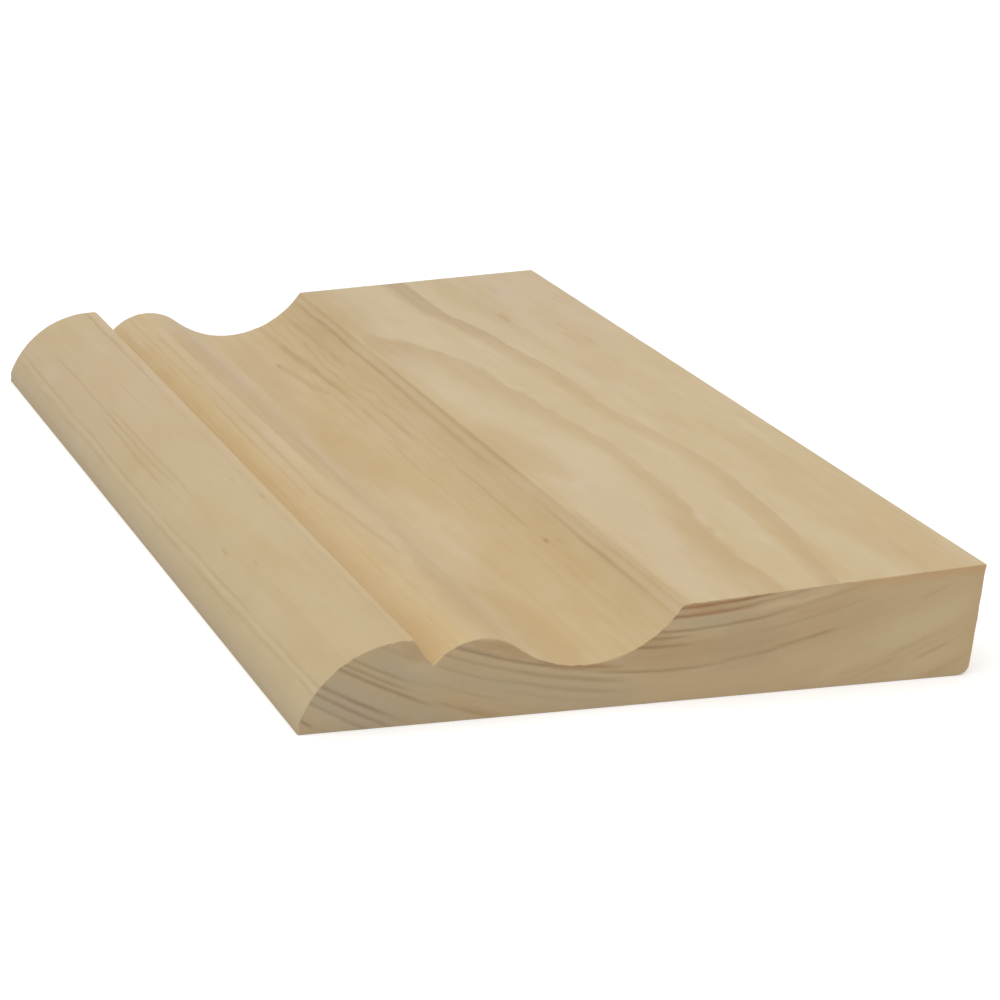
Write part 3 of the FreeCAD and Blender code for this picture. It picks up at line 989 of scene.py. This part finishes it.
def sawn_wood(grain, pine, field, season, depth):
    """Colour of the sawn ends, with the years as soft dark lines, and their pores."""
    cloud = grain.lumps(8, 10, 3, height=2.6)
    faint = grain.times(season_darkness(grain, season), depth)
    rings = grain.times(drawn(year_group, grain, END_YEARS, field), grain.vary(cloud, 0.7, 1.1))
    rings = grain.math("MULTIPLY_ADD", faint, grain.remap(cloud, 0.35, 0.65, 0.02, 0.12), rings, clamp=True)

    pores = grain.lumps(0.3, 3, 2, 0.7)
    shade = grain.plus(
        grain.remap(grain.across, 0, WIDTH, 0.4, -0.12), grain.vary(cloud, 0.12, -0.12),
        grain.vary(pores, 0.1, -0.1), clamp=True,
    )
    wood = grain.mix(shade, pine.early_end, pine.shade_end)
    sway = grain.join(grain.swing(cloud, 6), grain.swing(cloud, -1.6))
    place = grain.vector("ADD", sway, grain.join(grain.across, field))
    broken = grain.vary(cloud, 0.75, 1.25)
    for rows, tone in ((COOL_END, pine.cool_end), (PALE_END, pine.pale_end), (WARM_END, pine.warm_end)):
        share = grain.times(drawn(end_patch, grain, rows, place), broken, clamp=True)
        wood = grain.mix(share, wood, tone)

    under_rim = grain.minus(grain.math("MULTIPLY_ADD", grain.across, FLAT_SLOPE, FLAT_START), grain.height)
    rim = grain.ease(under_rim, 0.6, 2.6, 0.45, 0)
    rim = grain.times(rim, broken, grain.remap(grain.across, 90, 97))
    rim = grain.math("MAXIMUM", rim, grain.remap(grain.across, 114, 118, 0, 0.22))
    wood = grain.mix(rim, wood, pine.rim_end)
    red = grain.times(grain.remap(grain.height, 12, 15), grain.remap(grain.across, 98, 76))
    ink = grain.mix(red, pine.late_end, pine.red_end)
    return grain.mix(grain.times(rings, YEAR_SHARE), wood, ink), pores


def pine_material(pine):
    """Planed pine: one solid grain that runs through the faces and the ends."""
    material = bpy.data.materials.new("planed pine")
    grain = Grain(material)
    field = ring_field(grain, pine)
    season, depth, late = seasons(grain, field)
    streak = fibre(grain)
    face, figure = face_wood(grain, pine, season, depth, late, streak)
    sawn, pores = sawn_wood(grain, pine, field, season, depth)
    relief = grain.remap(grain.end, 0, 1, streak, grain.times(pores, 1.5))
    bump = grain.add("ShaderNodeBump", {"Strength": 0.5, "Distance": BUMP_DEPTH, "Height": relief})
    polish = grain.remap(figure, 0, 1, 0.66, 0.56)
    shader = grain.add("ShaderNodeBsdfPrincipled", {
        "Base Color": grain.mix(grain.end, face, sawn),
        "Normal": bump.outputs[0],
        "Roughness": grain.remap(grain.end, 0, 1, polish, 0.85),
        "Specular IOR Level": 0.3,
    })
    grain.add("ShaderNodeOutputMaterial", shader.outputs[:1])
    return material


# Stage

FLOOR_REACH = 4.0
FLOOR_GAP = 0.02 * MM
FLOOR_LIFT = 0.29
LAMP_SIZE = 3.0
LAMP_PLACE = (-0.35, -0.5, 2.6)
CAMERA_PLACE = Vector((-200.27, -578.51, 187.16)) * MM
CAMERA_AIM = Vector((11.11, -5.79, 2.75)) * MM


def linked(name, data):
    """New object of the scene."""
    item = bpy.data.objects.new(name, data)
    bpy.context.scene.collection.objects.link(item)
    return item


def floor_material(stage):
    """Pale floor that shows as white to the camera and still takes the board's shadow."""
    material = bpy.data.materials.new("pale floor")
    nodes = Nodes(material)
    matte = nodes.add("ShaderNodeBsdfDiffuse", {"Color": (*stage.floor, 1)})
    seen = nodes.add("ShaderNodeLightPath").outputs["Is Camera Ray"]
    lift = nodes.add("ShaderNodeEmission", {"Strength": nodes.times(seen, FLOOR_LIFT)})
    both = nodes.add("ShaderNodeAddShader", (matte.outputs[0], lift.outputs[0]))
    nodes.add("ShaderNodeOutputMaterial", both.outputs[:1])
    return material


def build_floor(stage):
    mesh = bpy.data.meshes.new("floor")
    corners = [(x * FLOOR_REACH, y * FLOOR_REACH, 0) for x, y in ((-1, -1), (1, -1), (1, 1), (-1, 1))]
    mesh.from_pydata(corners, [], [(0, 1, 2, 3)])
    mesh.materials.append(floor_material(stage))
    floor = linked("floor", mesh)
    floor.location.z = -FLOOR_GAP


def build_sky(stage):
    """Even light from all round, with a white background for the camera."""
    world = bpy.data.worlds.new("studio")
    bpy.context.scene.world = world
    nodes = Nodes(world)
    both = [nodes.add("ShaderNodeBackground", ((1, 1, 1, 1), power)).outputs[0] for power in (stage.sky, 1)]
    seen = nodes.add("ShaderNodeLightPath").outputs["Is Camera Ray"]
    pick = nodes.add("ShaderNodeMixShader", (seen, *both))
    nodes.add("ShaderNodeOutputWorld", pick.outputs[:1])


def build_lamp(stage):
    data = bpy.data.lights.new("soft lamp", "AREA")
    data.shape = "SQUARE"
    data.size = LAMP_SIZE
    data.energy = stage.lamp_power
    lamp = linked("soft lamp", data)
    lamp.location = LAMP_PLACE
    lamp.rotation_euler = (-lamp.location).to_track_quat("-Z", "Y").to_euler()


def build_camera(stage):
    data = bpy.data.cameras.new("camera")
    data.lens = stage.lens
    data.sensor_width = 36
    data.clip_start = 0.01
    camera = linked("camera", data)
    aim = (CAMERA_AIM - CAMERA_PLACE).to_track_quat("-Z", "Y").to_matrix()
    turn = aim @ Matrix.Rotation(stage.roll, 3, "Z")
    camera.matrix_world = Matrix.Translation(CAMERA_PLACE) @ turn.to_4x4()
    bpy.context.scene.camera = camera


# Operators

class SKIRTING_OT_board(bpy.types.Operator):
    """Build the board's body and dress it in pine"""

    bl_idname = "skirting.board"
    bl_label = "Build Board"

    def execute(self, context):
        scene = context.scene
        mesh = build_body(scene.skirting_section, scene.skirting_relief)
        mesh.shade_smooth()
        mesh.set_sharp_from_angle(angle=SMOOTH_ANGLE)
        mesh.materials.append(pine_material(scene.skirting_pine))
        board = linked("board", mesh)
        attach(board, BODY)
        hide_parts(NODE)
        return {"FINISHED"}


class SKIRTING_OT_stage(bpy.types.Operator):
    """Build the floor, the light and the camera"""

    bl_idname = "skirting.stage"
    bl_label = "Build Stage"

    def execute(self, context):
        stage = context.scene.skirting_stage
        build_floor(stage)
        build_sky(stage)
        build_lamp(stage)
        build_camera(stage)
        context.scene.view_settings.view_transform = "Standard"
        return {"FINISHED"}


class SKIRTING_PT_panel(bpy.types.Panel):
    """Lists the board's operators and sizes"""

    bl_idname = "SKIRTING_PT_panel"
    bl_label = "Skirting Board"
    bl_space_type = "VIEW_3D"
    bl_region_type = "UI"
    bl_category = "Skirting Board"

    def draw(self, context):
        layout = self.layout
        layout.operator(SKIRTING_OT_board.bl_idname)
        layout.operator(SKIRTING_OT_stage.bl_idname)
        for group_name in GROUPS:
            group = getattr(context.scene, group_name)
            box = layout.box()
            for name in group.bl_rna.properties.keys():
                if name not in ("rna_type", "name"):
                    box.prop(group, name)


GROUPS = {
    "skirting_section": SkirtingSection,
    "skirting_relief": SkirtingRelief,
    "skirting_pine": SkirtingPine,
    "skirting_stage": SkirtingStage,
}
CLASSES = (*GROUPS.values(), SKIRTING_OT_board, SKIRTING_OT_stage, SKIRTING_PT_panel)


def register():
    for item in CLASSES:
        bpy.utils.register_class(item)
    for name, group in GROUPS.items():
        setattr(bpy.types.Scene, name, bpy.props.PointerProperty(type=group))


def unregister():
    for name in GROUPS:
        delattr(bpy.types.Scene, name)
    for item in reversed(CLASSES):
        bpy.utils.unregister_class(item)


def main():
    register()
    bpy.ops.skirting.board()
    bpy.ops.skirting.stage()
    bpy.context.view_layer.update()


if __name__ == "__main__":
    main()
